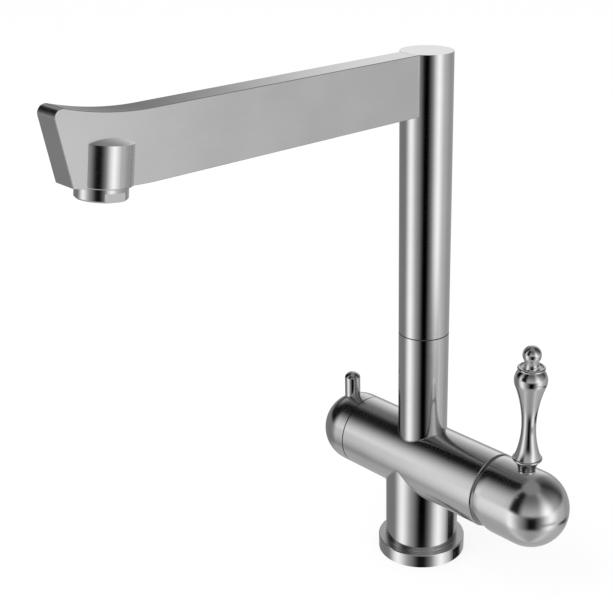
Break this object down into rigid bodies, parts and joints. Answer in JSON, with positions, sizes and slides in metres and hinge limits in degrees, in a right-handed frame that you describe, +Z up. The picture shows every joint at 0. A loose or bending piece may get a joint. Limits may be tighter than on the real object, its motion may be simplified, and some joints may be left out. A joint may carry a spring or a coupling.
{
  "type": "drinking water filter tap",
  "caption": "Kitchen tap for mixed and filtered water: crossed round body, flat swivel spout with upturned tip, baluster mixer lever at one end, filter pin at the other.",
  "frame": {"origin": "centre of the base's underside, on the deck", "axes": "+Z up, -Y along the spout at rest, +X towards the mixer lever"},
  "size_m": [0.1862, 0.2614, 0.3219],
  "materials": {
    "steel_body": "satin polished",
    "polished_steel": "polished",
    "brass": "turned",
    "copper": "drawn tube",
    "rubber": "matt",
    "dark_plastic": "moulded",
    "pale_plastic": "moulded",
    "ceramic": "lapped",
    "inner_steel": "turned"
  },
  "bodies": {
    "tap_body": {"base_flange": "steel_body", "base_gasket": "rubber", "inlet_manifold": "brass", "lower_pillar": "steel_body", "hot_feed_pipe": "copper", "cold_feed_pipe": "copper", "filter_feed_pipe": "copper", "barrel": "steel_body", "valve_block": "brass", "riser": "steel_body", "swivel_spigot": "brass", "spigot_o_rings": "rubber", "slide_ring": "dark_plastic", "filter_riser_tube": "pale_plastic", "cartridge_base": "pale_plastic", "cartridge_port_seals": "rubber", "cartridge_housing": "pale_plastic", "fixed_ceramic_disc": "ceramic", "cartridge_nut": "polished_steel", "filter_headwork": "brass", "headwork_seal": "rubber", "filter_fixed_disc": "ceramic"},
    "spout": {"spout_column": "steel_body", "swivel_bush": "pale_plastic", "retaining_screw": "inner_steel", "spout_bar": "steel_body", "nozzle_housing": "steel_body", "aerator_housing": "polished_steel", "aerator_gasket": "rubber", "aerator_core": "pale_plastic", "filter_spout_tube": "pale_plastic", "tube_seal": "rubber"},
    "mixer_carrier": {"cartridge_rotor": "pale_plastic", "lever_pivot_pin": "inner_steel"},
    "mixer_disc": {"sliding_ceramic_disc": "ceramic", "disc_slider": "dark_plastic"},
    "mixer_lever": {"cartridge_spindle": "inner_steel", "spindle_hub": "brass", "mixer_cap": "steel_body", "lever_handle": "polished_steel", "handle_stud": "inner_steel"},
    "filter_lever": {"filter_spindle": "inner_steel", "filter_rotating_disc": "ceramic", "filter_cap": "steel_body", "filter_cap_screw": "inner_steel", "filter_pin": "polished_steel"}
  },
  "joints": [
    {"name": "spout_swivel", "type": "hinge", "parent": "tap_body", "child": "spout", "pos_m": [0, 0, 0.1487], "axis": [0, 0, 1], "range_deg": [-110, 110]},
    {"name": "mixer_temperature", "type": "hinge", "parent": "tap_body", "child": "mixer_carrier", "pos_m": [0.058, 0, 0.0635], "axis": [1, 0, 0], "range_deg": [-50, 50]},
    {"name": "mixer_flow", "type": "hinge", "parent": "mixer_carrier", "child": "mixer_lever", "pos_m": [0.058, 0, 0.0635], "axis": [0, 1, 0], "range_deg": [0, 25]},
    {"name": "disc_slide", "type": "slide", "parent": "mixer_carrier", "child": "mixer_disc", "axis": [0, 0, 1], "range_m": [0, 0.0068]},
    {"name": "filter_turn", "type": "hinge", "parent": "tap_body", "child": "filter_lever", "pos_m": [-0.0485, 0, 0.0635], "axis": [1, 0, 0], "range_deg": [0, 90]}
  ],
  "couplings": [
    {"joint": "disc_slide", "follows": "mixer_flow", "m_per_rad": 0.0155}
  ]
}
